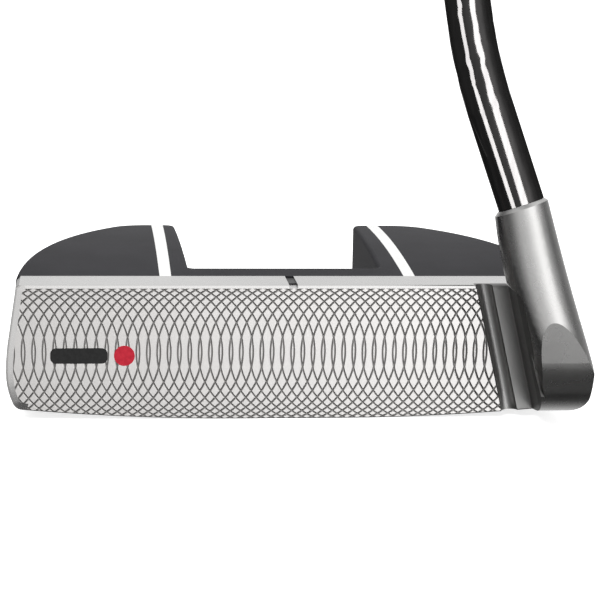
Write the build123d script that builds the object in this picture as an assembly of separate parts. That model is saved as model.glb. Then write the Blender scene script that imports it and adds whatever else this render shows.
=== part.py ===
"""Right-handed mallet putter: steel face block with heel weight, black two-wing body, bent shaft, grip.

Frame, mm: origin on the ground under the middle of the face, +X to the heel, +Y to the back, +Z up.
"""

import os
from math import cos, hypot, radians, sin, sqrt, tan

from build123d import *

# Face block
FACE_H = 28.0
FACE_T = 10.5
FACE_WALL = 4.5
EDGE_BREAK = 0.25
TOP_BEVEL = 0.45
TOE_BEVEL = 1.2
BEVEL_SLOPE = 0.245
TOE_TOP_BREAK = 0.6
TOE_TOP_X = -56.2
TOE_MAX_X = -58.35
TOE_SLANT = 8.3
TOE_BLEND_R = 40.0
TOE_TUCK = 1.9
TOE_TUCK_Z = 6.5
TOE_TUCK_R = 15.0
TOE_CORNER_CUT = 1.28
TOE_CORNER_SAG = 0.345
SOLE_PAD = 10.0
SOLE_MID_X = 35.0
SOLE_R = 480.0
ABOVE = 60.0
POCKET_H = 18.0
POCKET_Z = 14.0

# Heel weight, wall and flute
WALL_LEAN = 13.3
WALL_TOP_X = 44.3
WALL_SHOULDER = 2.5
HEEL_MAX_X = 59.3
HEEL_LINE_X = 57.5
HEEL_LINE_Z = 21.1
HEEL_LINE_SLOPE = 0.285
HEEL_BLEND_R = 20.0
HEEL_CORNER_R = 5.5
WEB_TOP_Y = -9.6
WEB_LOW_Y = -15.4
WEB_BACK_Y = 6.0
NOSE_Y = -16.7
NOSE_FACET_Z = 15.2
NOSE_FACET_TILT = 4.5
NOSE_R = 13.8
FLUTE_R = 1.7
FLUTE_TOP_X = 39.35

# Hosel and shaft line
MOUTH = Vector(44.92, -7.35, 45.85)
MOUTH_R = 5.6
MOUTH_BREAK = 0.7
MOUTH_TRIM = 5.0
NECK_Z = 30.0
NECK_SWELL = 1.6
WAIST_Z = 15.5
WAIST_Y = -13.3
FOOT_Z = 2.0
FOOT_Y = -15.2
FOOT_TUCK = 0.9
HOSEL_LEAN = 18.9
LIE = 72.5
AIM_Z = 13.9
POST_LENGTH = 20.0
BEND_R = 109.0
TIP_D = 9.5
BUTT_D = 14.8
TUBE_WALL = 0.5
GLUE = 0.1
SHOULDER_GAP = 0.05
CLUB_LENGTH = 864.0
BEND_SQUASH = 0.97
TAPER_LENGTH = 420.0

# Rear body
WING_ARC_R = 102.6
WING_ARC_X = 46.2
WING_ARC_Y = 6.5
BODY_END_Y = 71.5
WING_MID_Y = 42.0
BODY_FLARE = 2.6
BODY_OVERHANG = 0.5
HEEL_WING_STEP = 0.8
REAR_CORNER_R = 10.0
CROWN_R = 480.0
CROWN_Y = 52.0
CROWN_Z = 29.75
BODY_SOLE = ((10.5, 2.6), (45.0, 5.4), (72.5, 13.0))
TOP_EDGE_R = 0.9
BRIDGE_END_Y = 17.8
GAP_FRONT_X = 20.7
GAP_REAR_X = 21.7
GAP_HEEL_STEP = 0.9
GAP_CORNER_R = 1.5
WING_TIP_R = 2.5
SKIRT = 2.2
DECK = 3.0
WING_POCKET_Y = 21.0
WING_POCKET_R = 3.0
FRONT_POCKET_X = 33.5
FRONT_POCKET_W = 25.0
FRONT_POCKET_DEPTH = 7.0

# Marks
LINE_X_TOE = -25.8
LINE_X_HEEL = 25.4
LINE_W_FRONT = 2.4
LINE_W_REAR = 2.7
LINE_DEPTH = 0.6
NOTCH_W = 1.8
NOTCH_DEPTH = 0.6
NOTCH_PAINT = 0.25
NOTCH_BARE = 4.0
BADGE_DEPTH = 0.4
BADGE_PROUD = 0.18
BADGE_Z = 13.4
BAR_X = -43.6
BAR_W = 11.6
BAR_H = 3.2
BAR_R = 1.2
DOT_X = -34.4
DOT_R = 2.1

# Fasteners and ballast
SCREW_X = 12.0
SCREW_Z = 13.5
SCREW_D = 4.0
SCREW_HEAD_D = 7.0
SCREW_HEAD_H = 4.0
SCREW_SHANK = 11.8
SCREW_SOCKET_R = 1.75
SCREW_SOCKET_DEPTH = 2.3
PIN_D = 3.0
PIN_LENGTH = 7.8
PIN_X_TOE = -53.0
PIN_X_HEEL = 51.0
BALLAST_D = 16.0
BALLAST_H = 15.0
BALLAST_X = -41.5
BALLAST_Y = 32.0
BALLAST_GAP = 0.2
BALLAST_BOSS = 2.2
BALLAST_SOCKET_R = 3.0
BALLAST_SOCKET_DEPTH = 4.0

# Grip
GRIP_LENGTH = 267.0
CAP_H = 3.0
CAP_EDGE_R = 1.4
VENT_R = 1.5
TAPE = 0.35
# Sections of the grip: distance from its mouth, width, thumb side, palm side
GRIP_SECTIONS = (
    (0, 18.8, 9.2, 9.4),
    (50, 20.6, 9.9, 10.6),
    (130, 22.8, 10.6, 12.2),
    (195, 24.6, 11.2, 15.2),
    (240, 25.6, 11.6, 18.6),
    (GRIP_LENGTH - CAP_H, 25.0, 11.4, 18.0),
)

LEAN_X = tan(radians(HOSEL_LEAN))
UP_DIR = Vector(cos(radians(LIE)), 0, sin(radians(LIE)))


def wall_x(z):
    """X of the toe-side wall of the heel weight at height z."""
    return WALL_TOP_X + (FACE_H - z) * tan(radians(WALL_LEAN))


def heel_x(z):
    """X of the heel side at height z, before its lower roundings."""
    return HEEL_LINE_X + (HEEL_LINE_Z - z) * HEEL_LINE_SLOPE


def sole_z(x):
    """Height of the cambered sole at x."""
    d = max(abs(x) - SOLE_PAD, 0)
    return SOLE_R - sqrt(SOLE_R**2 - d**2)


def crown_z(y):
    """Height of the crowned top of the rear body at y."""
    return CROWN_Z - CROWN_R + sqrt(CROWN_R**2 - (y - CROWN_Y) ** 2)


def bend_corner():
    """Where the hosel axis and the upper shaft axis meet, and the hosel axis direction."""
    slope = LEAN_X * UP_DIR.Z + UP_DIR.X
    s = (MOUTH.X + LEAN_X * (MOUTH.Z - AIM_Z)) / slope
    corner = Vector(0, 0, AIM_Z) + UP_DIR * s
    return corner, (corner - MOUTH).normalized()


CORNER, HOSEL_DIR = bend_corner()


def ridge(solid, x, z):
    """Edge along Y that is nearest to a point of the front view."""
    return solid.edges().filter_by(Axis.Y).sort_by(lambda e: hypot(e.center().X - x, e.center().Z - z))[0]


def toe_corner():
    """Start, middle and end of the arc that joins the tucked toe to the sole."""
    x_foot = TOE_MAX_X + TOE_TUCK
    x_end = x_foot + TOE_CORNER_CUT
    foot = Vector(x_foot, 0, sole_z(x_foot))
    end = Vector(x_end, 0, sole_z(x_end))
    up = (Vector(TOE_MAX_X, 0, TOE_TUCK_Z) - foot).normalized()
    along = (end - foot).normalized()
    return foot + up * TOE_CORNER_CUT, foot + (up + along) * TOE_CORNER_SAG, end


def head_outline():
    """Front outline shared by the face block and the heel weight, open above."""
    z_top = ABOVE
    z_low = sole_z(HEEL_MAX_X)
    foot, middle, sole_end = toe_corner()
    slant = tan(radians(TOE_SLANT))
    z_toe = FACE_H - (TOE_TOP_X - TOE_MAX_X) / slant
    z_heel = HEEL_LINE_Z - (HEEL_MAX_X - HEEL_LINE_X) / HEEL_LINE_SLOPE
    mid = SOLE_MID_X
    edges = [
        Line((TOE_TOP_X + slant * (z_top - FACE_H), 0, z_top), (TOE_MAX_X, 0, z_toe)),
        Line((TOE_MAX_X, 0, z_toe), (TOE_MAX_X, 0, TOE_TUCK_Z)),
        Line((TOE_MAX_X, 0, TOE_TUCK_Z), foot),
        ThreePointArc(foot, middle, sole_end),
        ThreePointArc(sole_end, (-mid, 0, sole_z(mid)), (-SOLE_PAD, 0, 0)),
        Line((-SOLE_PAD, 0, 0), (SOLE_PAD, 0, 0)),
        ThreePointArc((SOLE_PAD, 0, 0), (mid, 0, sole_z(mid)), (HEEL_MAX_X, 0, z_low)),
        Line((HEEL_MAX_X, 0, z_low), (HEEL_MAX_X, 0, z_heel)),
        Line((HEEL_MAX_X, 0, z_heel), (heel_x(z_top), 0, z_top)),
        Line((heel_x(z_top), 0, z_top), (TOE_TOP_X + slant * (z_top - FACE_H), 0, z_top)),
    ]
    solid = extrude(make_face(edges), 80, dir=(0, 1, 0), both=True)
    solid = fillet(ridge(solid, TOE_MAX_X, TOE_TUCK_Z), TOE_TUCK_R)
    solid = fillet(ridge(solid, TOE_MAX_X, z_toe), TOE_BLEND_R)
    solid = fillet(ridge(solid, HEEL_MAX_X, z_low), HEEL_CORNER_R)
    return fillet(ridge(solid, HEEL_MAX_X, z_heel), HEEL_BLEND_R)


def framed_edges(plate):
    """Front face of the plate, its top edge and its toe edges down to the sole."""
    front = plate.faces().filter_by(Axis.Y).sort_by(Axis.Y)[0]
    toe_end = toe_corner()[2].X
    top = front.edges().sort_by(Axis.Z)[-1]
    toe = front.edges().filter_by(lambda e: e.center().X < toe_end)
    return front, top, list(toe)


def plain_rim():
    """Region of the plate along the sole and the heel that keeps its front rim unbevelled."""
    x0 = toe_corner()[2].X
    z0 = -1
    lean = 1.5
    z_sole = 4
    x_heel = 42
    plan = make_face(
        Polyline(
            (x0, 0, z0),
            (x0 + lean, 0, z_sole),
            (x_heel, 0, z_sole),
            (x_heel, 0, FACE_H),
            (HEEL_MAX_X + 1, 0, FACE_H),
            (HEEL_MAX_X + 1, 0, z0),
            close=True,
        )
    )
    return extrude(plan, FACE_WALL / 2, dir=(0, 1, 0))


def face_plate(outline):
    """Face block without the heel weight: broken edges and a shallow bevel at the top and the toe."""
    box = Pos(0, FACE_T / 2, FACE_H / 2) * Box(140, FACE_T, FACE_H)
    plate = outline & box
    corner = plate.edges().filter_by(Axis.Y).group_by(Axis.Z)[-1].sort_by(Axis.X)[0]
    plate = chamfer(corner, TOE_TOP_BREAK)
    front, top, toe = framed_edges(plate)
    broken = chamfer([top] + toe, EDGE_BREAK)
    front, top, toe = framed_edges(broken)
    plate = chamfer(toe, TOE_BEVEL, TOE_BEVEL * BEVEL_SLOPE, reference=front)
    plate += broken & plain_rim()
    front, top, toe = framed_edges(plate)
    return chamfer(top, TOP_BEVEL, TOP_BEVEL * BEVEL_SLOPE, reference=front)


def round_section(z, left, right, y):
    """Horizontal round section of the hosel between two side silhouettes."""
    return Pos((left + right) / 2, y, z) * Circle((right - left) / 2)


def hosel_horn():
    """Round horn from the mouth down into the heel weight, swelling and leaning forward."""
    run = HOSEL_DIR.Y / HOSEL_DIR.Z
    top = MOUTH.Z + MOUTH_TRIM
    left = MOUTH.X - MOUTH_R
    neck_y = MOUTH.Y - (MOUTH.Z - NECK_Z) * run
    horn = loft(
        [
            round_section(top, left - 0.7, heel_x(top) + 0.1, MOUTH.Y + MOUTH_TRIM * run),
            round_section(MOUTH.Z, left, heel_x(MOUTH.Z) + 0.1, MOUTH.Y),
            round_section(NECK_Z, wall_x(NECK_Z) - NECK_SWELL, heel_x(NECK_Z), neck_y),
            round_section(WAIST_Z, wall_x(WAIST_Z), heel_x(WAIST_Z), WAIST_Y),
            round_section(FOOT_Z, wall_x(FOOT_Z), heel_x(FOOT_Z) - FOOT_TUCK, FOOT_Y),
        ]
    )
    horn -= hosel_frame(0) * Pos(0, 0, 10) * Box(30, 30, 20)
    mouth = horn.faces().sort_by(Axis.Z)[-1]
    return chamfer(mouth.edges(), MOUTH_BREAK)


def web_section(z, y_front):
    """Rectangle that joins the horn to the face block at height z."""
    left = wall_x(z)
    right = heel_x(z)
    back = WEB_BACK_Y
    return make_face(
        Polyline((left, y_front, z), (right, y_front, z), (right, back, z), (left, back, z), close=True)
    )


def nose_profile():
    """Side outline of the heel weight: front facet, round underside, all lengths behind."""
    x = 30
    z_top = ABOVE
    y_back = 12
    first = radians(NOSE_FACET_TILT)
    last = radians(80)
    yc = NOSE_Y + NOSE_R * cos(first)
    zc = NOSE_FACET_Z + NOSE_R * sin(first)

    def on_arc(angle):
        return (x, yc - NOSE_R * cos(angle), zc - NOSE_R * sin(angle))

    y_top = NOSE_Y - (z_top - NOSE_FACET_Z) * tan(first)
    end = on_arc(last)
    low = (x, y_back, end[2] - (y_back - end[1]) / tan(last))
    edges = [
        Line((x, y_top, z_top), on_arc(first)),
        ThreePointArc(on_arc(first), on_arc((first + last) / 2), end),
        Line(end, low),
        Line(low, (x, y_back, z_top)),
        Line((x, y_back, z_top), (x, y_top, z_top)),
    ]
    return extrude(make_face(edges), 50, dir=(1, 0, 0))


def heel_weight(outline):
    """Heel weight with its planar toe-side wall and the horn above it."""
    web = loft([web_section(FACE_H, WEB_TOP_Y), web_section(-1, WEB_LOW_Y)], ruled=True)
    lump = (hosel_horn() + web) & nose_profile() & outline
    z_shoulder = FACE_H + WALL_SHOULDER
    beyond = make_face(
        Polyline(
            (wall_x(FACE_H) - WALL_SHOULDER, 0, z_shoulder),
            (wall_x(FACE_H), 0, FACE_H),
            (wall_x(-5), 0, -5),
            (30, 0, -5),
            (30, 0, z_shoulder),
            close=True,
        )
    )
    return lump - extrude(beyond, 30, dir=(0, -1, 0))


def flute():
    """Half-round vertical groove between the milled face and the heel land."""
    return Pos(FLUTE_TOP_X, 0, FACE_H) * Rot(0, -WALL_LEAN, 0) * Cylinder(FLUTE_R, 90)


def hosel_frame(rise):
    """Plane on the hosel axis, a distance above its shoulder, normal up the axis."""
    return Plane(origin=MOUTH + HOSEL_DIR * rise, z_dir=HOSEL_DIR)


def shaft_post():
    """Post on the hosel's shoulder that fills the lower end of the shaft."""
    radius = TIP_D / 2 - TUBE_WALL - GLUE
    root = 2
    post = extrude(Circle(radius), POST_LENGTH + root)
    post = chamfer(post.edges().sort_by(Axis.Z)[-1], 0.5)
    return hosel_frame(-root) * post


def back_pockets():
    """Pockets behind the striking wall, closed by the rear body."""
    depth = FACE_T - FACE_WALL
    y = FACE_WALL + depth / 2
    toe = Pos(-33, y, POCKET_Z) * Box(30, depth, POCKET_H)
    middle = Pos(0, y, POCKET_Z) * Box(12, depth, POCKET_H)
    heel = Pos(28, y, POCKET_Z) * Box(20, depth, POCKET_H)
    return toe + middle + heel


def screw_axis(x):
    """Location of a body screw's head seat in the bridge, pointing to the face."""
    return Location((x, BRIDGE_END_Y - SCREW_HEAD_H, SCREW_Z), (90, 0, 0))


def notch():
    """Centre aiming notch across the topline."""
    return Pos(0, FACE_T / 2, FACE_H) * Box(NOTCH_W, FACE_T, 2 * NOTCH_DEPTH)


def notch_paint():
    """Paint on the floor of the notch, over its rear part."""
    length = FACE_T - NOTCH_BARE
    return Pos(0, NOTCH_BARE + length / 2, FACE_H - NOTCH_DEPTH + NOTCH_PAINT / 2) * Box(
        NOTCH_W, length, NOTCH_PAINT
    )


def badge_shapes():
    """Bar and dot of the generic mark on the toe side, as flat bodies."""
    thick = BADGE_DEPTH + BADGE_PROUD
    turn = Pos(0, BADGE_DEPTH, 0) * Rot(90, 0, 0)
    bar = Pos(BAR_X, 0, BADGE_Z) * turn * extrude(RectangleRounded(BAR_W, BAR_H, BAR_R), thick)
    dot = Pos(DOT_X, 0, BADGE_Z) * turn * extrude(Circle(DOT_R), thick)
    return bar, dot


def front_block(plate, outline):
    """Stainless face block, heel weight and hosel in one piece."""
    block = plate + heel_weight(outline) - flute() + shaft_post()
    block -= back_pockets()
    for x in (-SCREW_X, SCREW_X):
        block -= screw_axis(x) * extrude(Circle(SCREW_D / 2), 12.3)
    for x in (PIN_X_TOE, PIN_X_HEEL):
        block -= Location((x, FACE_T, SCREW_Z), (90, 0, 0)) * extrude(Circle(PIN_D / 2), 4)
    bar, dot = badge_shapes()
    return block - notch() - bar - dot


def wing_x(y, grow):
    """Distance of a wing's outer side from the middle at y, grown outward."""
    return sqrt((WING_ARC_R + grow) ** 2 - (y - WING_ARC_Y) ** 2) - WING_ARC_X


def body_plan(grow, z):
    """Plan of the rear body at height z, grown outward."""
    y_mid = WING_MID_Y
    y_end = BODY_END_Y
    front_x = wing_x(FACE_T, grow)
    mid_x = wing_x(y_mid, grow)
    rear_x = wing_x(y_end, grow)
    step = HEEL_WING_STEP
    edges = [
        Line((-front_x, FACE_T, z), (front_x + step, FACE_T, z)),
        ThreePointArc((front_x + step, FACE_T, z), (mid_x + step, y_mid, z), (rear_x + step, y_end, z)),
        Line((rear_x + step, y_end, z), (-rear_x, y_end, z)),
        ThreePointArc((-rear_x, y_end, z), (-mid_x, y_mid, z), (-front_x, FACE_T, z)),
    ]
    plan = make_face(edges)
    return fillet(plan.vertices().group_by(Axis.Y)[-1], REAR_CORNER_R)


def side_profile():
    """Side outline of the rear body: crowned top, sole rising to the rear."""
    x = -70
    front, middle, rear = [(x, y, z) for y, z in BODY_SOLE]
    crown = [(x, y, crown_z(y)) for y in (front[1], middle[1], rear[1])]
    edges = [
        ThreePointArc(crown[0], crown[1], crown[2]),
        Line(crown[2], rear),
        ThreePointArc(rear, middle, front),
        Line(front, crown[0]),
    ]
    return extrude(make_face(edges), 140, dir=(1, 0, 0))


def wing_gap():
    """Open space between the wings, with rounded inner corners."""
    rear = 90
    spread = (GAP_REAR_X - GAP_FRONT_X) / (BODY_END_Y - BRIDGE_END_Y)
    x_rear = GAP_REAR_X + (rear - BODY_END_Y) * spread
    plan = make_face(
        Polyline(
            (-GAP_FRONT_X, BRIDGE_END_Y, -5),
            (GAP_FRONT_X - GAP_HEEL_STEP, BRIDGE_END_Y, -5),
            (x_rear - GAP_HEEL_STEP, rear, -5),
            (-x_rear, rear, -5),
            close=True,
        )
    )
    plan = fillet(plan.vertices().group_by(Axis.Y)[0], GAP_CORNER_R)
    return extrude(plan, 50, dir=(0, 0, 1))


def wing_pocket(side):
    """Hollow milled into one wing from below; side is -1 for the toe, +1 for the heel."""
    z = -5
    y_mid = WING_MID_Y
    y_front = WING_POCKET_Y
    y_rear = BODY_END_Y - SKIRT
    front, middle, rear = [(side * wing_x(y, -SKIRT), y, z) for y in (y_front, y_mid, y_rear)]
    inner_front = (side * (GAP_FRONT_X + SKIRT), y_front, z)
    inner_rear = (side * (GAP_REAR_X + SKIRT), y_rear, z)
    edges = [
        Line(inner_front, front),
        ThreePointArc(front, middle, rear),
        Line(rear, inner_rear),
        Line(inner_rear, inner_front),
    ]
    plan = fillet(make_face(edges).vertices(), WING_POCKET_R)
    tool = extrude(plan, 45, dir=(0, 0, 1))
    under = Pos(0, CROWN_Y, CROWN_Z - CROWN_R) * Rot(0, 90, 0) * Cylinder(CROWN_R - DECK, 160)
    return tool & under


def is_wing_tip(edge):
    """True for the upright edge at the rear inner corner of a wing."""
    middle = edge.center()
    return middle.Y > BODY_END_Y - 1 and abs(middle.X) < GAP_REAR_X + 2 and edge.bounding_box().size.Z > 8


def body_shell(outline):
    """Outer form of the rear body with softened top edges."""
    shell = loft([body_plan(0, CROWN_Z + 0.25), body_plan(BODY_FLARE, 0)], ruled=True)
    wide = Pos(-BODY_OVERHANG, 0, 0) * outline
    shell = (shell & side_profile() & wide) - wing_gap()
    tips = shell.edges().filter_by(is_wing_tip)
    shell = fillet(tips, WING_TIP_R)
    top = shell.faces().filter_by(GeomType.CYLINDER).sort_by(Axis.Z)[-1]
    soft = top.edges().filter_by(lambda e: e.center().Y > FACE_T + 0.5)
    return fillet(soft, TOP_EDGE_R)


def sight_strip(side):
    """Slightly tapering strip along a wing; deeper than the line it leaves."""
    y0 = FACE_T
    y1 = BODY_END_Y + 1
    cx = LINE_X_TOE if side < 0 else LINE_X_HEEL
    plan = make_face(
        Polyline(
            (cx - LINE_W_FRONT / 2, y0, 0),
            (cx + LINE_W_FRONT / 2, y0, 0),
            (cx + LINE_W_REAR / 2, y1, 0),
            (cx - LINE_W_REAR / 2, y1, 0),
            close=True,
        )
    )
    tool = extrude(plan, 40, dir=(0, 0, 1))
    under = Pos(0, CROWN_Y, CROWN_Z - CROWN_R) * Rot(0, 90, 0)
    return tool - under * Cylinder(CROWN_R - LINE_DEPTH, 160)


def ballast_top():
    """Height of the ballast's upper end, just under the deck."""
    return crown_z(BALLAST_Y) - DECK - BALLAST_GAP


def ballast_seat():
    """Boss and bore for the toe ballast under the deck."""
    boss = Pos(BALLAST_X, BALLAST_Y, 15.5) * Cylinder(BALLAST_D / 2 + BALLAST_BOSS, 22)
    bore = Pos(BALLAST_X, BALLAST_Y, ballast_top() - 20) * Cylinder(BALLAST_D / 2, 40)
    return boss, bore


def rear_body(shell):
    """Black anodised body: bridge, two hollow wings, seats for lines, screws and ballast."""
    body = shell - wing_pocket(-1) - wing_pocket(1)
    boss, bore = ballast_seat()
    body += boss & shell
    body -= bore
    y_pocket = FACE_T + FRONT_POCKET_DEPTH / 2
    for x in (-FRONT_POCKET_X, FRONT_POCKET_X):
        body -= Pos(x, y_pocket, POCKET_Z) * Box(FRONT_POCKET_W, FRONT_POCKET_DEPTH, POCKET_H)
    for x in (-SCREW_X, SCREW_X):
        body -= screw_axis(x) * extrude(Circle(SCREW_D / 2), 12)
        body -= screw_axis(x) * extrude(Circle(SCREW_HEAD_D / 2 + 0.2), -12)
    for x in (PIN_X_TOE, PIN_X_HEEL):
        body -= Location((x, FACE_T, SCREW_Z), (-90, 0, 0)) * extrude(Circle(PIN_D / 2), 4)
    return body - sight_strip(-1) - sight_strip(1)


def cap_screw():
    """Socket cap screw; seat at the origin, shank along +Z, head below."""
    shank = extrude(Circle(SCREW_D / 2), SCREW_SHANK)
    head = extrude(Circle(SCREW_HEAD_D / 2), -SCREW_HEAD_H + 0.3)
    head = chamfer(head.edges().sort_by(Axis.Z)[0], 0.4)
    hexagon = RegularPolygon(SCREW_SOCKET_R, 6)
    socket = Pos(0, 0, -SCREW_HEAD_H) * extrude(hexagon, SCREW_SOCKET_DEPTH)
    return shank + head - socket


def locating_pin(x):
    """Dowel between the face block and the rear body."""
    return Pos(x, FACE_T, SCREW_Z) * Rot(90, 0, 0) * Cylinder(PIN_D / 2, PIN_LENGTH)


def toe_ballast():
    """Heavy plug in the toe wing, with a hex socket in its lower end."""
    plug = chamfer(Cylinder(BALLAST_D / 2, BALLAST_H).edges(), 0.5)
    plug = Pos(BALLAST_X, BALLAST_Y, ballast_top() - BALLAST_H / 2) * plug
    hexagon = RegularPolygon(BALLAST_SOCKET_R, 6)
    foot = Pos(BALLAST_X, BALLAST_Y, ballast_top() - BALLAST_H)
    return plug - foot * extrude(hexagon, BALLAST_SOCKET_DEPTH)


def bend_geometry():
    """Tangent points, directions and centre of the shaft bend."""
    half = HOSEL_DIR.get_angle(UP_DIR) / 2
    run = BEND_R * tan(radians(half))
    start = CORNER - HOSEL_DIR * run
    end = CORNER + UP_DIR * run
    inward = (UP_DIR - HOSEL_DIR).normalized()
    centre = CORNER + inward * (BEND_R / cos(radians(half)))
    middle = centre - inward * BEND_R
    return start, middle, end


def tube_run(radius_tip, radius_butt, dip):
    """Shaft form: straight tip, bend, straight rise that tapers to the butt."""
    start, middle, end = bend_geometry()
    tip = MOUTH + HOSEL_DIR * (SHOULDER_GAP - dip)
    squash = Plane(origin=middle, x_dir=(0, 1, 0), z_dir=(end - start).normalized())
    tip_plane = Plane(origin=tip, x_dir=(0, 1, 0), z_dir=HOSEL_DIR)
    start_plane = Plane(origin=start, x_dir=(0, 1, 0), z_dir=HOSEL_DIR)
    end_plane = Plane(origin=end, x_dir=(0, 1, 0), z_dir=UP_DIR)
    low = extrude(tip_plane * Circle(radius_tip), (start - tip).length)
    bend_path = ThreePointArc(start, middle, end)
    wide = radius_tip * (2 - BEND_SQUASH)
    bend = sweep(
        [
            start_plane * Circle(radius_tip),
            squash * Ellipse(wide, radius_tip * BEND_SQUASH),
            end_plane * Circle(radius_tip),
        ],
        path=bend_path,
        multisection=True,
    )
    butt = butt_point() + UP_DIR * dip
    full = end + UP_DIR * TAPER_LENGTH
    taper = loft([end_plane * Circle(radius_tip), Plane(origin=full, z_dir=UP_DIR) * Circle(radius_butt)])
    upper = extrude(Plane(origin=full, z_dir=UP_DIR) * Circle(radius_butt), (butt - full).length)
    return low + bend + taper + upper


def butt_point():
    """Top end of the shaft, the club length measured from the ground along the shaft line."""
    return UP_DIR * (CLUB_LENGTH - CAP_H) - Vector(AIM_Z / tan(radians(LIE)), 0, 0)


def shaft():
    """Bent steel tube."""
    return tube_run(TIP_D / 2, BUTT_D / 2, 0) - tube_run(TIP_D / 2 - TUBE_WALL, BUTT_D / 2 - TUBE_WALL, 5)


def shaft_bond():
    """Epoxy film between the hosel's post and the shaft."""
    ring = Circle(TIP_D / 2 - TUBE_WALL) - Circle(TIP_D / 2 - TUBE_WALL - GLUE)
    return hosel_frame(SHOULDER_GAP) * extrude(ring, POST_LENGTH - 1)


def grip_frame(along):
    """Plane across the grip; local x across the palm, local y toward the thumb side."""
    origin = butt_point() - UP_DIR * (GRIP_LENGTH - CAP_H - along)
    return Plane(origin=origin, x_dir=(0, 1, 0), z_dir=UP_DIR)


def grip_section(along, width, thumb, palm):
    """Pistol section: flat thumb side, round palm side."""
    face = make_face(
        Polyline((-width / 2, -palm), (width / 2, -palm), (width / 2, thumb), (-width / 2, thumb), close=True)
    )
    face = fillet(face.vertices().group_by(Axis.Y)[-1], width * 0.24)
    face = fillet(face.vertices().group_by(Axis.Y)[0], width * 0.47)
    return grip_frame(along) * face


def grip_form():
    """Outside of the grip from its mouth to the cap."""
    return loft([grip_section(*values) for values in GRIP_SECTIONS])


def grip_sleeve():
    """Rubber grip with its bore and its thick end wall."""
    bore = extrude(grip_frame(-1) * Circle(BUTT_D / 2 + TAPE), GRIP_LENGTH + 1)
    return grip_form() - bore


def grip_tape():
    """Tape layer that holds the grip to the shaft."""
    ring = Circle(BUTT_D / 2 + TAPE) - Circle(BUTT_D / 2)
    return extrude(grip_frame(0.5) * ring, GRIP_LENGTH - 4)


def grip_cap():
    """End cap with a vent hole."""
    plate = grip_section(*GRIP_SECTIONS[-1])
    cap = extrude(plate, CAP_H, dir=tuple(UP_DIR))
    cap = fillet(cap.faces().sort_by(Axis.Z)[-1].edges(), CAP_EDGE_R)
    return cap - extrude(grip_frame(GRIP_LENGTH - CAP_H - 1) * Circle(VENT_R), CAP_H + 5)


def write(name, shape):
    """Save one piece as a STEP file."""
    export_step(shape, f"parts/{name}.step")


def main():
    os.makedirs("parts", exist_ok=True)
    outline = head_outline()
    plate = face_plate(outline)
    shell = body_shell(outline)
    bar, dot = badge_shapes()
    write("front_block", front_block(plate, outline))
    write("rear_body", rear_body(shell))
    write("toe_sight_line", sight_strip(-1) & shell)
    write("heel_sight_line", sight_strip(1) & shell)
    write("centre_sight_mark", notch_paint())
    write("face_mark_bar", bar)
    write("face_mark_dot", dot)
    write("body_screws", Compound([screw_axis(x) * cap_screw() for x in (-SCREW_X, SCREW_X)]))
    write("locating_pins", Compound([locating_pin(x) for x in (PIN_X_TOE, PIN_X_HEEL)]))
    write("toe_ballast", toe_ballast())
    write("shaft", shaft())
    write("shaft_bond", shaft_bond())
    write("grip_sleeve", grip_sleeve())
    write("grip_tape", grip_tape())
    write("grip_cap", grip_cap())


main()
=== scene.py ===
"""Looks of a mallet putter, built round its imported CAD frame. Metres; +X heel, +Y back, +Z up."""

from math import asin, cos, pi, radians, sin, sqrt, tan

import bmesh
import bpy
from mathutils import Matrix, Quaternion, Vector
from mathutils.bvhtree import BVHTree
from mathutils.geometry import delaunay_2d_cdt


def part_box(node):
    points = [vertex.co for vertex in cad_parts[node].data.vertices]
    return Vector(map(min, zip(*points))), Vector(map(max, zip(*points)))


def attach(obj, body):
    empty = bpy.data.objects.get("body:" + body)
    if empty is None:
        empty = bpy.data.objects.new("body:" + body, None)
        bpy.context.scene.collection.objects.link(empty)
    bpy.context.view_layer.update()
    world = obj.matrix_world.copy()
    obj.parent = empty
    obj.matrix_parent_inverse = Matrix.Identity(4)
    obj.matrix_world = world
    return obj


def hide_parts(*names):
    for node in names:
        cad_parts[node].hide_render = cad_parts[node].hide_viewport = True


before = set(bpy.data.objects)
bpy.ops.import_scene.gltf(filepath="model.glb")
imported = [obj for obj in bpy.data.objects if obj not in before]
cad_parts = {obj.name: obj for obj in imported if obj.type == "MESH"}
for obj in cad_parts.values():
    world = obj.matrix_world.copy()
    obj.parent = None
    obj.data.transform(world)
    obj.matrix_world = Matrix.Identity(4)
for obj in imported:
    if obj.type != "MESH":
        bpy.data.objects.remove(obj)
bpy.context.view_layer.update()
MM = 0.001

# Milled face pattern: equal, slightly flattened rings whose centres run along one line
RING_R = 16.17 * MM
RING_FLATTEN = 1.062
RING_PITCH = 2.11 * MM
RING_SHIFT = 1.01 * MM
RING_Z = 13.98 * MM
GROOVE_HALF = 0.22 * MM
GROOVE_DEPTH = 0.09 * MM
PLATE_PROUD = 0.10 * MM
PLATE_BACK = 0.05 * MM
ARC_STEP = 0.9 * MM

# Heel recess of the face block: leaning flute, land and wall, rougher, with painted shade: their colour is
# darker, most of all toward the wall
RECESS_LEAN = tan(radians(13.3))
RECESS_LEFT = 37.45 * MM
FLUTE_RIGHT = 41.1 * MM
RECESS_RIGHT = 44.4 * MM
RECESS_DEEPEST = 2 * MM
FACE_TOP = 28.0 * MM
# The low front flank that faces the toe gets the same painted shade as the recess
FLANK_FRONT = -1 * MM
FLANK_TOP = 15 * MM
FLANK_FADE = 4 * MM

# Polished bevel round the striking face, with a painted highlight: its colour is lighter than the steel's
BEVEL_DEEPEST = 0.16 * MM
BEVEL_FADE = 0.04 * MM

# Painted shade on the steel: the toe's rim, the rounded foot and the web beside it are coloured darker
TOE_RIM_RIGHT = -50 * MM
TOE_RIM_DEEPEST = 0.6 * MM
TOE_RIM_PAINTED_SHADE = 0.8
FOOT_FRONT = -9 * MM
FOOT_PAINTED_SHADE = 0.48
WEB_FRONT = -12 * MM
WEB_RIGHT = 53 * MM
WEB_TOP = 12 * MM
WEB_FADE = 6 * MM
WEB_PAINTED_SHADE = 0.84

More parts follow.
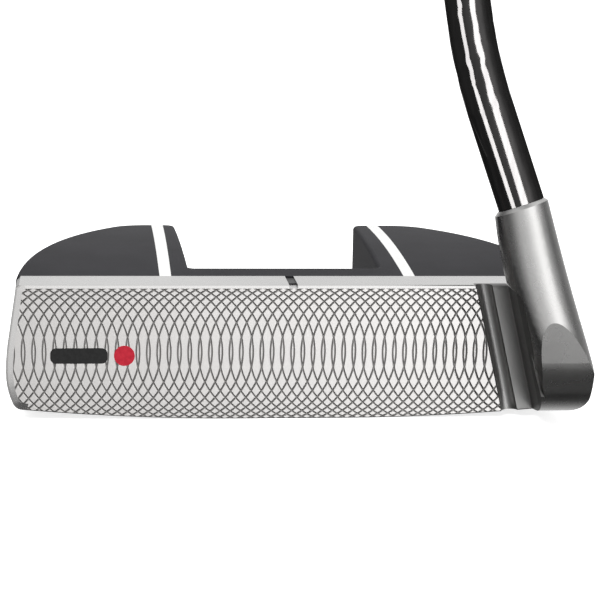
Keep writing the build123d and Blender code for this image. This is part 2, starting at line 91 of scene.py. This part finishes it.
# Reading the striking face off the CAD block; lengths in mm
FRONT_FACING = 0.9999
FLATNESS = 0.01
HEEL_MARGIN = 5

# Grip: moulded diamonds on the palm side, dimples on the thumb side; angles from the thumb flat
GRIP_AROUND = 180
GRIP_STEP = 0.6 * MM
DIAMOND_PITCH = 5.2 * MM
DIAMOND_HALF = 0.55 * MM
DIAMOND_DEPTH = 0.38 * MM
DIMPLE_PITCH = 5.0 * MM
DIMPLE_R = 1.25 * MM
DIMPLE_DEPTH = 0.40 * MM
PATTERN_MARGIN = 22.0 * MM
PATTERN_FADE = 6.0 * MM
PALM_FROM = radians(62)
PALM_FADE = radians(8)
THUMB_TO = radians(34)
THUMB_FADE = radians(6)
RAY_REACH = 40 * MM
RAY_INSET = 0.02 * MM

# The picture's camera: focal length and sensor in mm, turn in degrees
LENS = 121.92
SENSOR = 36
CAMERA_PLACE = (-0.04007, -0.4056, 0.10321)
CAMERA_TURN = (79.1282, -1.0301, -5.6297)

# Studio: a glowing paper floor, a key lamp and two strips that only the shaft mirrors
FLOOR_HALF = 12
FLOOR_TONE = 0.86
FLOOR_GLOW = 0.72
KEY_SIZE = 1.0
KEY_ENERGY = 12
KEY_PLACE = (-0.6, -0.7, 1.4)
STRIP_LENGTH = 2.4
STRIP_DISTANCE = 1.2
STRIP_TARGET = (0.01, 0, 0.04)
# Name, azimuth, elevation and roll in degrees, width, radiance
STRIPS = (
    ("strip_left", -53, -9, 46, 0.36, 20),
    ("strip_right", 13, 9.5, -46, 0.32, 22),
)

# What polished parts mirror: degrees of bearing (0 front, + heel side) or elevation, and brightness
ROOM_AROUND = (
    (-180, 0.49), (-150, 0.07), (-74, 0.06), (-58, 0.12), (-30, 0.33), (-6, 0.39), (1, 0.46),
    (12, 0.54), (26, 0.80), (44, 0.80), (66, 0.25), (95, 0.07), (135, 0.18), (150, 0.36),
    (168, 0.47), (174, 0.44), (180, 0.49),
)
ROOM_GAIN = 2.0
RISE_FRONT = (
    (-90, 0.12), (-52, 0.08), (-34, 0.09), (-24, 0.17), (-19.5, 0.25), (-14, 1.0), (20, 1.0), (60, 0.8),
)
RISE_BACK = ((-90, 0.12), (-70, 0.2), (-58, 0.4), (-44, 0.6), (-28, 0.8), (-12, 1.0), (30, 1.0))
CARD_AROUND = ((-1, 0.0), (8, 1.0), (24, 1.0), (40, 0.0))
CARD_RISE = ((-18, 0.0), (-14, 1.0), (-7, 1.0), (-2, 0.0))
CARD_RADIANCE = 1.8
CEILING_RISE = ((30, 0.0), (60, 1.0))
CEILING = 0.9


class Nodes:
    """Short helpers for one node tree."""

    def __init__(self, tree):
        self.tree = tree

    def add(self, kind, **inputs):
        """New node with its inputs set, by name or as i and a number."""
        node = self.tree.nodes.new(kind)
        for key, value in inputs.items():
            self.put(node, key, value)
        return node

    def put(self, node, key, value):
        by_number = key[0] == "i" and key[1:].isdigit()
        socket = node.inputs[int(key[1:])] if by_number else node.inputs[key]
        if isinstance(value, bpy.types.NodeSocket):
            self.tree.links.new(value, socket)
        else:
            socket.default_value = value

    def math(self, op, a, b=0.0, c=0.0, clamp=False):
        node = self.add("ShaderNodeMath", i0=a, i1=b, i2=c)
        node.operation = op
        node.use_clamp = clamp
        return node.outputs[0]

    def mix(self, factor, a, b):
        node = self.tree.nodes.new("ShaderNodeMix")
        node.data_type = "RGBA"
        self.put(node, "i0", factor)
        self.put(node, "i6", a)
        self.put(node, "i7", b)
        return node.outputs[2]

    def blend(self, factor, a, b):
        """Number a where factor is 0 and b where it is 1."""
        return self.math("MULTIPLY_ADD", factor, b - a, a)

    def ramp(self, value, stops, mode="LINEAR"):
        """Colour or grey level between stops of (place, colour or level)."""
        node = self.add("ShaderNodeValToRGB", Fac=value)
        node.color_ramp.interpolation = mode
        dots = node.color_ramp.elements
        while len(dots) < len(stops):
            dots.new(0.5)
        for dot, (place, level) in zip(dots, stops):
            dot.position = place
            dot.color = (level, level, level, 1) if isinstance(level, float) else level
        return node.outputs[0]

    def noise(self, vector, scale, detail=3.0, rough=0.55):
        inputs = {"Vector": vector, "Scale": scale, "Detail": detail, "Roughness": rough}
        return self.add("ShaderNodeTexNoise", **inputs).outputs[0]

    def average(self, a, b):
        return self.math("MULTIPLY", self.math("ADD", a, b), 0.5)

    def place(self, stretch=(1, 1, 1)):
        """Object space position, stretched per axis."""
        coords = self.tree.nodes.new("ShaderNodeTexCoord").outputs["Object"]
        return self.add("ShaderNodeMapping", Vector=coords, Scale=stretch).outputs[0]

    def step(self, value, edge, soft=0.1 * MM):
        """Rises from 0 to 1 over a short way round the edge."""
        slope = 1 / soft
        return self.math("MULTIPLY_ADD", value, slope, 0.5 - edge * slope, clamp=True)

    def below(self, value, edge, soft=0.1 * MM):
        """Falls from 1 to 0 over a short way round the edge."""
        return self.math("SUBTRACT", 1.0, self.step(value, edge, soft))

    def band(self, value, low, high):
        """1 between two edges, 0 outside."""
        return self.math("SUBTRACT", self.step(value, low), self.step(value, high))

    def bump(self, height, strength, distance):
        inputs = {"Height": height, "Strength": strength, "Distance": distance}
        return self.add("ShaderNodeBump", **inputs).outputs[0]

    def product(self, first, *rest):
        """All the masks at once, multiplied in order."""
        for mask in rest:
            first = self.math("MULTIPLY", first, mask)
        return first

    def dimmed(self, level, mask, share):
        """The level, less this share of it where the mask is 1."""
        return self.math("MULTIPLY", level, self.math("MULTIPLY_ADD", mask, -share, 1.0))


def grey(level):
    return (level, level, level, 1)


def new_material(name):
    """Material, its node helper and its principled shader."""
    mat = bpy.data.materials.new(name)
    mat.use_nodes = True
    nodes = Nodes(mat.node_tree)
    shader = mat.node_tree.nodes["Principled BSDF"]
    return mat, nodes, shader


def steel_zones(n):
    """Masks of the heel recess and the polished bevel, the place across the recess, and a painted shade.

    The shade is 1, and less on the toe's rim, the foot and the web, picked by place and by the way they face.
    """
    x, y, z = n.add("ShaderNodeSeparateXYZ", Vector=n.place()).outputs
    across = n.math("MULTIPLY_ADD", z, RECESS_LEAN, n.math("ADD", x, -FACE_TOP * RECESS_LEAN))
    geometry = n.tree.nodes.new("ShaderNodeNewGeometry").outputs
    facing_x, _, facing_z = n.add("ShaderNodeSeparateXYZ", Vector=geometry["Normal"]).outputs
    flat_z = n.add("ShaderNodeSeparateXYZ", Vector=geometry["True Normal"]).outputs[2]
    toward_toe = n.math("MULTIPLY", facing_x, -1.0)
    downward = n.math("MULTIPLY", facing_z, -1.0)

    # Painted shade: the recess and the low front flank that faces the toe, picked by place and by the way the
    # surface faces
    low_front = n.product(n.below(z, FLANK_TOP, FLANK_FADE), n.below(y, FLANK_FRONT))
    flank = n.product(n.step(toward_toe, 0.30, 0.2), low_front)
    inner = n.product(n.band(across, RECESS_LEFT, RECESS_RIGHT), n.below(y, RECESS_DEEPEST))
    recess = n.product(n.math("MAXIMUM", inner, flank), n.below(z, FACE_TOP + 0.05 * MM))
    bevel = n.product(n.below(y, BEVEL_DEEPEST, BEVEL_FADE), n.below(across, RECESS_LEFT))

    # Painted shade on the foot, the toe's rim and the web, picked by place and by the way each surface faces
    foot = n.math("SUBTRACT", n.step(downward, 0.05, 0.04), n.step(downward, 0.75, 0.3))
    foot = n.product(foot, n.below(y, FOOT_FRONT))
    toe_rim = n.product(n.step(toward_toe, 0.45, 0.2), n.below(x, TOE_RIM_RIGHT), n.below(y, TOE_RIM_DEEPEST))
    web_side = n.product(n.below(x, WEB_RIGHT), n.below(z, WEB_TOP, WEB_FADE))
    web = n.product(n.step(flat_z, -0.01, 0.04), n.below(y, WEB_FRONT), web_side)
    shade = n.dimmed(n.dimmed(n.dimmed(1.0, foot, FOOT_PAINTED_SHADE), toe_rim, TOE_RIM_PAINTED_SHADE), web, WEB_PAINTED_SHADE)
    return recess, bevel, across, shade


def steel_material():
    """Bead-blasted stainless steel: rougher in the heel recess, polished on the face's bevel; painted shade
    darkens the recess and a painted highlight lightens the bevel.
    """
    mat, n, shader = new_material("head_steel")
    spot = n.place()
    grain = n.noise(spot, 5200, 2.0)
    cloud = n.noise(spot, 140, 4.0)
    mixed = n.average(grain, cloud)
    blasted = n.ramp(mixed, [(0.3, (0.56, 0.555, 0.55, 1)), (0.7, (0.66, 0.655, 0.645, 1))])
    recess, bevel, across, shade = steel_zones(n)
    # Painted shade in the recess: the colour is darker over the flute and darkest on the land just short of
    # the wall
    width = RECESS_RIGHT - RECESS_LEFT
    share = n.math("MULTIPLY_ADD", across, 1 / width, -RECESS_LEFT / width, clamp=True)
    land = (FLUTE_RIGHT - RECESS_LEFT) / width
    stops = [(0.0, 0.62), (land - 0.05, 0.62), (land + 0.05, 0.52), (0.94, 0.34), (1.0, 0.55)]
    depth = n.ramp(share, stops)
    tone = n.mix(recess, blasted, n.mix(depth, grey(0.0), blasted))
    # Painted highlight: the polished bevel's colour is lighter than the blasted steel's
    tone = n.mix(bevel, tone, (0.86, 0.85, 0.84, 1))
    # The painted shade darkens the colour
    n.put(shader, "Base Color", n.mix(shade, grey(0.0), tone))
    n.put(shader, "Metallic", 1.0)
    rough = n.math("ADD", n.blend(recess, 0.22, 0.34), n.math("MULTIPLY", bevel, -0.10))
    n.put(shader, "Roughness", n.math("MULTIPLY_ADD", cloud, 0.10, rough))
    # The recess's duller reflection tint belongs to the same painted shade
    n.put(shader, "Specular Tint", n.mix(recess, grey(1.0), grey(0.6)))
    n.put(shader, "Normal", n.bump(grain, 0.25, 0.02 * MM))
    return mat


def milled_material():
    """Steel of the striking face; painted shade makes the cutter's grooves darker than the lands, and the
    lands are painted lighter than the head's steel.
    """
    mat, n, shader = new_material("milled_steel")
    spot = n.place()
    grain = n.noise(spot, 4200, 3.0)
    cloud = n.noise(spot, 55, 3.0)
    # Painted light: the lands are a lighter tone than the same steel on the rest of the head
    land = n.ramp(n.average(grain, cloud),
                  [(0.3, (0.68, 0.665, 0.655, 1)), (0.7, (0.80, 0.785, 0.77, 1))])
    # Painted shade: the groove attribute darkens the colour along each cutter groove
    groove = n.tree.nodes.new("ShaderNodeAttribute")
    groove.attribute_name = "groove"
    share = n.ramp(groove.outputs["Fac"], [(0.04, 0.0), (0.45, 1.0)], "EASE")
    n.put(shader, "Base Color", n.mix(share, land, (0.27, 0.262, 0.255, 1)))
    n.put(shader, "Metallic", 1.0)
    n.put(shader, "Roughness", n.math("MULTIPLY_ADD", cloud, 0.1, 0.30))
    n.put(shader, "Normal", n.bump(grain, 0.25, 0.02 * MM))
    return mat


def anodised_material():
    """Black anodised aluminium: matte, slightly violet, with a fine bead-blast grain."""
    mat, n, shader = new_material("black_anodised")
    spot = n.place()
    grain = n.noise(spot, 4800, 3.0)
    cloud = n.noise(spot, 90, 3.0)
    tone = n.ramp(n.average(grain, cloud),
                  [(0.3, (0.0150, 0.0145, 0.0175, 1)), (0.7, (0.0273, 0.0264, 0.0311, 1))])
    n.put(shader, "Base Color", tone)
    n.put(shader, "Roughness", n.math("MULTIPLY_ADD", grain, 0.12, 0.48))
    n.put(shader, "Specular IOR Level", 0.09)
    n.put(shader, "Normal", n.bump(grain, 0.3, 0.03 * MM))
    return mat


def chrome_material():
    """Black chrome plating: dark mirror with a barely visible polish haze."""
    mat, n, shader = new_material("black_chrome")
    haze = n.noise(n.place((1, 1, 0.12)), 900, 3.0)
    tone = n.ramp(haze, [(0.35, (0.050, 0.0485, 0.0485, 1)), (0.65, (0.062, 0.0605, 0.060, 1))])
    n.put(shader, "Base Color", tone)
    n.put(shader, "Metallic", 0.8)
    n.put(shader, "Specular IOR Level", 0.0)
    n.put(shader, "Roughness", n.math("MULTIPLY_ADD", haze, 0.05, 0.06))
    n.put(shader, "Specular Tint", grey(0.35))
    n.put(shader, "Normal", n.bump(haze, 0.04, 0.02 * MM))
    return mat


def paint_material(name, low, high, rough):
    """Brushed-in paint fill with a slight orange peel."""
    mat, n, shader = new_material(name)
    peel = n.noise(n.place(), 1400, 2.0)
    n.put(shader, "Base Color", n.ramp(peel, [(0.35, low), (0.65, high)]))
    n.put(shader, "Roughness", n.math("MULTIPLY_ADD", peel, 0.15, rough))
    n.put(shader, "Specular IOR Level", 0.3)
    n.put(shader, "Normal", n.bump(peel, 0.15, 0.03 * MM))
    return mat


def rubber_material():
    """Moulded rubber with a pebbled skin; the worn high spots are a little lighter."""
    mat, n, shader = new_material("grip_rubber")
    spot = n.place()
    pebble = n.add("ShaderNodeTexVoronoi", Vector=spot, Scale=1500.0).outputs["Distance"]
    wear = n.noise(spot, 30, 4.0)
    tone = n.ramp(wear, [(0.3, (0.020, 0.020, 0.021, 1)), (0.7, (0.036, 0.036, 0.037, 1))])
    n.put(shader, "Base Color", tone)
    n.put(shader, "Roughness", n.math("MULTIPLY_ADD", wear, 0.2, 0.58))
    n.put(shader, "Specular IOR Level", 0.35)
    n.put(shader, "Normal", n.bump(pebble, 0.35, 0.06 * MM))
    return mat


def plain_metal(name, low, high, rough):
    """Turned metal of the fasteners and the ballast, with fine lathe rings."""
    mat, n, shader = new_material(name)
    turn = n.noise(n.place((1, 6, 1)), 1800, 2.0)
    n.put(shader, "Base Color", n.ramp(turn, [(0.35, low), (0.65, high)]))
    n.put(shader, "Metallic", 1.0)
    n.put(shader, "Roughness", n.math("MULTIPLY_ADD", turn, 0.12, rough))
    n.put(shader, "Normal", n.bump(turn, 0.15, 0.02 * MM))
    return mat


def plain_matter(name, low, high, rough, scale):
    """Cast or woven filler: epoxy, tape, plastic."""
    mat, n, shader = new_material(name)
    cloud = n.noise(n.place(), scale, 4.0)
    n.put(shader, "Base Color", n.ramp(cloud, [(0.35, low), (0.65, high)]))
    n.put(shader, "Roughness", n.math("MULTIPLY_ADD", cloud, 0.15, rough))
    n.put(shader, "Normal", n.bump(cloud, 0.2, 0.04 * MM))
    return mat


def dress(node, material):
    """Give a CAD node its finish."""
    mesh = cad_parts[node].data
    mesh.materials.clear()
    mesh.materials.append(material)


def add_object(name, mesh):
    obj = bpy.data.objects.new(name, mesh)
    bpy.context.scene.collection.objects.link(obj)
    return obj


def boundary(faces):
    """Directed edges that belong to one face only."""
    edges = {(f[i], f[(i + 1) % len(f)]) for f in faces for i in range(len(f))}
    return [(a, b) for a, b in edges if (b, a) not in edges]


def joined_loops(edges):
    """Closed loops of vertex numbers that follow directed edges."""
    after = dict(edges)
    loops = []
    while after:
        start, here = after.popitem()
        loop = [start]
        while here != start:
            loop.append(here)
            here = after.pop(here)
        loops.append(loop)
    return loops


def loop_area(loop):
    """Signed area of a closed loop of (x, z) points."""
    turns = zip(loop, loop[1:] + loop[:1])
    return sum(a[0] * b[1] - b[0] * a[1] for a, b in turns) / 2


def striking_face_loops():
    """Outline of the CAD block's flat striking face and the openings for its marks.

    Points are (x, z) in mm. Loops that reach the heel end belong to the recess and are left out.
    """
    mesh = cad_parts["front_block"].data
    numbers = {}
    faces = []
    for poly in mesh.polygons:
        corners = [mesh.vertices[i].co / MM for i in poly.vertices]
        if poly.normal.y > -FRONT_FACING or max(abs(c.y) for c in corners) > FLATNESS:
            continue
        keys = [(round(c.x, 3), round(c.z, 3)) for c in corners]
        faces.append([numbers.setdefault(key, len(numbers)) for key in keys])
    points = list(numbers)
    loops = [[points[i] for i in loop] for loop in joined_loops(boundary(faces))]
    outline = max(loops, key=lambda loop: abs(loop_area(loop)))
    limit = max(p[0] for p in outline) - HEEL_MARGIN
    holes = [loop for loop in loops if loop is not outline and max(p[0] for p in loop) < limit]
    return [outline] + holes


def inside(point, loops):
    """True within an odd number of the loops."""
    x, z = point
    hit = False
    for loop in loops:
        for (x0, z0), (x1, z1) in zip(loop, loop[1:] + loop[:1]):
            if (z0 > z) != (z1 > z) and x < x0 + (z - z0) * (x1 - x0) / (z1 - z0):
                hit = not hit
    return hit


def ring_numbers(left, right):
    """Numbers of the rings that can cross a span of x."""
    first = int((left - RING_SHIFT - RING_R) / RING_PITCH) - 2
    last = int((right - RING_SHIFT + RING_R) / RING_PITCH) + 2
    return range(first, last + 1)


def groove_share(x, z):
    """1 on a groove's centre line, 0 on the land."""
    nearest = GROOVE_HALF
    rise = (z - RING_Z) * RING_FLATTEN
    for k in ring_numbers(x, x):
        d = abs(sqrt((x - RING_SHIFT - k * RING_PITCH) ** 2 + rise ** 2) - RING_R)
        nearest = min(nearest, d)
    return 1 - nearest / GROOVE_HALF


def chain(points, start, closed):
    """Edges that join a run of newly added points."""
    count = len(points)
    edges = [(start + i, start + i + 1) for i in range(count - 1)]
    return edges + [(start + count - 1, start)] if closed else edges


def groove_arcs(left, right):
    """Centre lines and both rims of every groove, as open runs of (x, z) points in mm."""
    low = -0.3 * MM
    high = FACE_TOP
    for k in ring_numbers(left, right):
        centre = RING_SHIFT + k * RING_PITCH
        for offset in (-GROOVE_HALF, 0, GROOVE_HALF):
            r = RING_R + offset
            a0 = asin((low - RING_Z) * RING_FLATTEN / r)
            a1 = asin((high - RING_Z) * RING_FLATTEN / r)
            steps = int(r * (a1 - a0) / ARC_STEP)
            angles = [a0 + (a1 - a0) * i / steps for i in range(steps + 1)]
            for side in (-1, 1):
                xs = [centre + side * r * cos(a) for a in angles]
                zs = [RING_Z + r * sin(a) / RING_FLATTEN for a in angles]
                yield [(x / MM, z / MM) for x, z in zip(xs, zs)]


def triangulate(points, edges, loops):
    """Triangles of a flat region between loops that keep the given edges."""
    tolerance = 1e-5
    whole_hull = 0
    vectors = [Vector(p) for p in points]
    points, _, faces, _, _, _ = delaunay_2d_cdt(vectors, edges, [], whole_hull, tolerance)
    kept = [f for f in faces if inside(sum((points[i] for i in f), Vector((0, 0))) / 3, loops)]
    return points, kept


def milled_plate():
    """Striking face with the cutter's rings as real V grooves, closed behind into a thin plate."""
    loops = striking_face_loops()
    runs = [(loop, True) for loop in loops]
    left = min(p[0] for p in loops[0]) * MM
    right = max(p[0] for p in loops[0]) * MM
    runs += [(arc, False) for arc in groove_arcs(left, right)]
    points = []
    edges = []
    for run, closed in runs:
        edges += chain(run, len(points), closed)
        points += run
    points, faces = triangulate(points, edges, loops)
    used = sorted({i for f in faces for i in f})
    number = {old: new for new, old in enumerate(used)}
    faces = [[number[i] for i in f] for f in faces]
    flat = [points[i] * MM for i in used]
    share = [groove_share(p.x, p.y) for p in flat]
    coords = [(p.x, -PLATE_PROUD + GROOVE_DEPTH * s, p.y) for p, s in zip(flat, share)]
    rim = boundary(faces)
    behind = {}
    for i, _ in rim:
        behind[i] = len(coords)
        coords.append((flat[i].x, PLATE_BACK, flat[i].y))
        share.append(0.0)
    walls = [(b, a, behind[a], behind[b]) for a, b in rim]
    mesh = bpy.data.meshes.new("milled_face")
    mesh.from_pydata(coords, [], faces + walls)
    mesh.attributes.new("groove", "FLOAT", "POINT").data.foreach_set("value", share)
    bm = bmesh.new()
    bm.from_mesh(mesh)
    bmesh.ops.triangle_fill(bm, edges=[e for e in bm.edges if e.is_boundary])
    bmesh.ops.recalc_face_normals(bm, faces=bm.faces)
    bm.to_mesh(mesh)
    bm.free()
    return add_object("milled_face", mesh)


def ring_centre(points):
    """Centre of a tilted ring, from its box."""
    return Vector([(min(p[k] for p in points) + max(p[k] for p in points)) / 2 for k in range(3)])


def grip_axis():
    """Lowest point and direction of the grip's axis, from the rings of the tape under it."""
    points = [v.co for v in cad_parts["grip_tape"].data.vertices]
    middle = sum(p.z for p in points) / len(points)
    low = ring_centre([p for p in points if p.z < middle])
    high = ring_centre([p for p in points if p.z > middle])
    return low, (high - low).normalized()


def ease(t):
    """Smooth rise from 0 to 1, level outside."""
    t = min(max(t, 0), 1)
    return t * t * (3 - 2 * t)


def diamond_cut(around, along):
    """Depth of the crossed grooves; around and along are lengths on the surface."""
    depth = 0
    for hand in (-1, 1):
        phase = (along + hand * around) / DIAMOND_PITCH
        off = abs(phase - round(phase)) * DIAMOND_PITCH
        depth = max(depth, 1 - off / DIAMOND_HALF)
    return depth * DIAMOND_DEPTH


def dimple_cut(across, along):
    """Depth of the staggered round dimples on the thumb flat."""
    row = round(across / DIMPLE_PITCH * 2)
    shifted = along / DIMPLE_PITCH + row / 2
    d_along = (shifted - round(shifted)) * DIMPLE_PITCH
    d_across = across - row * DIMPLE_PITCH / 2
    reach = sqrt(d_along ** 2 + d_across ** 2) / DIMPLE_R
    return ease(1 - reach) * DIMPLE_DEPTH


def grip_cut(angle, radius, along, length):
    """How far the moulded pattern sinks; angle 0 is the middle of the thumb flat."""
    ends = ease(min(along - PATTERN_MARGIN, length - PATTERN_MARGIN - along) / PATTERN_FADE)
    turn = abs(angle)
    palm = ease((turn - PALM_FROM) / PALM_FADE)
    thumb = ease((THUMB_TO - turn) / THUMB_FADE)
    diamonds = palm * diamond_cut(angle * radius, along)
    return ends * (diamonds + thumb * dimple_cut(radius * sin(angle), along))


def moulded_grip():
    """Rubber grip: the CAD sleeve's outside and bore, with the moulded pattern sunk into the outside."""
    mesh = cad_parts["grip_sleeve"].data
    tree = BVHTree.FromPolygons([v.co for v in mesh.vertices], [p.vertices[:] for p in mesh.polygons])
    start, up = grip_axis()
    spans = [(v.co - start).dot(up) for v in mesh.vertices]
    first = min(spans)
    length = max(spans) - first
    thumb = Vector((-up.z, 0, up.x))
    side = up.cross(thumb)
    angles = [2 * pi * i / GRIP_AROUND - pi for i in range(GRIP_AROUND)]
    spokes = [(angle, thumb * cos(angle) + side * sin(angle)) for angle in angles]
    rows = int(length / GRIP_STEP)
    rings = []
    for j in range(rows + 1):
        along = length * j / rows
        centre = start + up * (first + along)
        probe = start + up * (first + min(max(along, RAY_INSET), length - RAY_INSET))
        ring = []
        for angle, out in spokes:
            radius = RAY_REACH - tree.ray_cast(probe + out * RAY_REACH, -out)[3]
            ring.append(centre + out * (radius - grip_cut(angle, radius, along, length)))
        rings.append(ring)
    probe = start + up * (first + length / 2)
    for along in (length, 0):
        centre = start + up * (first + along)
        rings.append([centre + out * tree.ray_cast(probe, out)[3] for _, out in spokes])
    return ring_object("moulded_grip", rings)


def ring_object(name, rings):
    """Closed skin over rings of equal count; the last ring joins the first."""
    count = len(rings[0])
    total = len(rings)
    coords = [p for ring in rings for p in ring]
    faces = []
    for j in range(total):
        k = (j + 1) % total
        for i in range(count):
            n = (i + 1) % count
            faces.append((j * count + i, j * count + n, k * count + n, k * count + i))
    mesh = bpy.data.meshes.new(name)
    mesh.from_pydata(coords, [], faces)
    bm = bmesh.new()
    bm.from_mesh(mesh)
    bmesh.ops.recalc_face_normals(bm, faces=bm.faces)
    bm.to_mesh(mesh)
    bm.free()
    mesh.polygons.foreach_set("use_smooth", [True] * len(mesh.polygons))
    return add_object(name, mesh)


def camera():
    """The photograph's viewing angle."""
    data = bpy.data.cameras.new("camera")
    data.lens = LENS
    data.sensor_width = SENSOR
    data.clip_start = 0.01
    data.clip_end = 100
    cam = add_object("camera", data)
    cam.location = CAMERA_PLACE
    cam.rotation_euler = [radians(a) for a in CAMERA_TURN]
    bpy.context.scene.camera = cam


def floor():
    """Plain pale studio floor."""
    mesh = bpy.data.meshes.new("floor")
    bm = bmesh.new()
    bmesh.ops.create_grid(bm, x_segments=2, y_segments=2, size=FLOOR_HALF)
    bm.to_mesh(mesh)
    bm.free()
    obj = add_object("floor", mesh)
    mat, n, shader = new_material("floor_paper")
    n.put(shader, "Base Color", grey(FLOOR_TONE))
    n.put(shader, "Roughness", 0.9)
    n.put(shader, "Specular IOR Level", 0.0)
    n.put(shader, "Emission Color", grey(1.0))
    n.put(shader, "Emission Strength", FLOOR_GLOW)
    mesh.materials.append(mat)
    obj.visible_glossy = False
    obj.visible_diffuse = False


def by_bearing(stops):
    """Stops of (compass degrees, level) as stops of a ramp that runs once round."""
    return [((degrees + 180) / 360, level) for degrees, level in stops]


def by_elevation(stops):
    """Stops of (elevation in degrees, level) as stops of a ramp from straight down to straight up."""
    return [((degrees + 90) / 180, level) for degrees, level in stops]


def mirrored_room(n):
    """Brightness that polished parts mirror, by direction."""
    coords = n.tree.nodes.new("ShaderNodeTexCoord").outputs["Generated"]
    x, y, z = n.add("ShaderNodeSeparateXYZ", Vector=coords).outputs
    azimuth = n.math("ARCTAN2", x, n.math("MULTIPLY", y, -1.0))
    around = n.math("MULTIPLY_ADD", azimuth, 0.5 / pi, 0.5)
    height = n.math("MULTIPLY_ADD", n.math("ARCSINE", z), 1 / pi, 0.5)
    front = n.ramp(n.math("MULTIPLY_ADD", y, -0.5, 0.5), [(0.45, 0.0), (0.6, 1.0)])
    rise_front = n.ramp(height, by_elevation(RISE_FRONT))
    rise_back = n.ramp(height, by_elevation(RISE_BACK))
    walls = n.product(n.ramp(around, by_bearing(ROOM_AROUND)), n.mix(front, rise_back, rise_front))
    card_rise = n.product(n.ramp(height, by_elevation(CARD_RISE)), front)
    card = n.product(n.ramp(around, by_bearing(CARD_AROUND)), card_rise)
    walls = n.math("MULTIPLY_ADD", walls, ROOM_GAIN, n.math("MULTIPLY", card, CARD_RADIANCE))
    ceiling = n.ramp(height, by_elevation(CEILING_RISE))
    return n.mix(ceiling, walls, grey(CEILING))


def sky_light(n):
    """Even light on matte parts: brightest from above, weak from under the horizon."""
    coords = n.tree.nodes.new("ShaderNodeTexCoord").outputs["Generated"]
    z = n.add("ShaderNodeSeparateXYZ", Vector=coords).outputs[2]
    return n.ramp(n.math("MULTIPLY_ADD", z, 0.5, 0.5), [(0.4, 0.25), (0.52, 0.62), (1.0, 1.0)])


def studio():
    """Soft white room: what polished parts mirror is shaped by direction, the rest is even light."""
    world = bpy.data.worlds.new("studio")
    bpy.context.scene.world = world
    world.use_nodes = True
    world.cycles.sampling_method = "NONE"
    n = Nodes(world.node_tree)
    for node in list(world.node_tree.nodes):
        world.node_tree.nodes.remove(node)
    path = n.tree.nodes.new("ShaderNodeLightPath")
    glossy = n.add("ShaderNodeBackground", Color=mirrored_room(n), Strength=1.0)
    even = n.add("ShaderNodeBackground", Color=sky_light(n), Strength=1.1)
    seen = n.add("ShaderNodeBackground", Color=grey(1.0), Strength=1.0)
    light = even.outputs[0]
    for ray, background in (("Is Glossy Ray", glossy), ("Is Camera Ray", seen)):
        mix = n.add("ShaderNodeMixShader", i0=path.outputs[ray], i1=light, i2=background.outputs[0])
        light = mix.outputs[0]
    n.add("ShaderNodeOutputWorld", Surface=light)


def area_lamp(name, shape, width, height, energy):
    """Area light that the camera doesn't see."""
    data = bpy.data.lights.new(name, "AREA")
    data.shape = shape
    data.size = width
    data.size_y = height
    data.energy = energy
    lamp = add_object(name, data)
    lamp.rotation_mode = "QUATERNION"
    lamp.visible_camera = False
    return lamp


def strip_light(name, azimuth, elevation, roll, width, radiance, receivers):
    """Long softbox that only the polished tube mirrors, aimed at the shaft's lower end."""
    power = radiance * pi * width * STRIP_LENGTH
    lamp = area_lamp(name, "RECTANGLE", width, STRIP_LENGTH, power)
    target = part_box("shaft")[0] + Vector(STRIP_TARGET)
    toward = Vector((sin(azimuth) * cos(elevation), -cos(azimuth) * cos(elevation), sin(elevation)))
    lamp.location = target + toward * STRIP_DISTANCE
    lamp.rotation_quaternion = toward.to_track_quat("Z", "Y") @ Quaternion((0, 0, 1), roll)
    lamp.visible_diffuse = False
    lamp.light_linking.receiver_collection = receivers


def shaft_lights():
    """Two strips that draw the long highlights on the black chrome."""
    receivers = bpy.data.collections.new("polished")
    receivers.objects.link(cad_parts["shaft"])
    for name, azimuth, elevation, roll, width, radiance in STRIPS:
        strip_light(name, radians(azimuth), radians(elevation), radians(roll), width, radiance, receivers)


def key_light():
    """Large soft lamp above the toe side, aimed at the origin."""
    lamp = area_lamp("key", "DISK", KEY_SIZE, KEY_SIZE, KEY_ENERGY)
    lamp.location = KEY_PLACE
    lamp.rotation_quaternion = lamp.location.to_track_quat("Z", "Y")
    lamp.visible_glossy = False


steel = steel_material()
black = anodised_material()
white = paint_material("white_paint", (0.80, 0.80, 0.79, 1), (0.88, 0.88, 0.87, 1), 0.4)
dark = paint_material("black_paint", (0.012, 0.012, 0.012, 1), (0.02, 0.02, 0.02, 1), 0.35)
red = paint_material("red_paint", (0.62, 0.018, 0.042, 1), (0.72, 0.028, 0.055, 1), 0.35)
chrome = chrome_material()
rubber = rubber_material()
fastener = plain_metal("fastener_steel", (0.45, 0.45, 0.45, 1), (0.55, 0.55, 0.55, 1), 0.3)
ballast = plain_metal("ballast_steel", (0.35, 0.34, 0.33, 1), (0.45, 0.44, 0.43, 1), 0.35)
epoxy = plain_matter("epoxy", (0.30, 0.26, 0.18, 1), (0.40, 0.35, 0.25, 1), 0.3, 600)
tape = plain_matter("tape", (0.55, 0.50, 0.38, 1), (0.65, 0.60, 0.48, 1), 0.7, 2500)
cap = plain_matter("cap_plastic", (0.018, 0.018, 0.019, 1), (0.03, 0.03, 0.031, 1), 0.45, 1200)

for node, material in {
    "front_block": steel, "rear_body": black, "body_screws": fastener, "locating_pins": fastener,
    "toe_ballast": ballast, "toe_sight_line": white, "heel_sight_line": white, "centre_sight_mark": dark,
    "face_mark_bar": dark, "face_mark_dot": red, "shaft": chrome, "shaft_bond": epoxy,
    "grip_sleeve": rubber, "grip_tape": tape, "grip_cap": cap,
}.items():
    dress(node, material)

plate = milled_plate()
plate.data.materials.append(milled_material())
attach(plate, "root")

grip = moulded_grip()
grip.data.materials.append(rubber)
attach(grip, "root")
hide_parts("grip_sleeve")

camera()
floor()
studio()
shaft_lights()
key_light()
bpy.context.scene.view_settings.view_transform = "Standard"
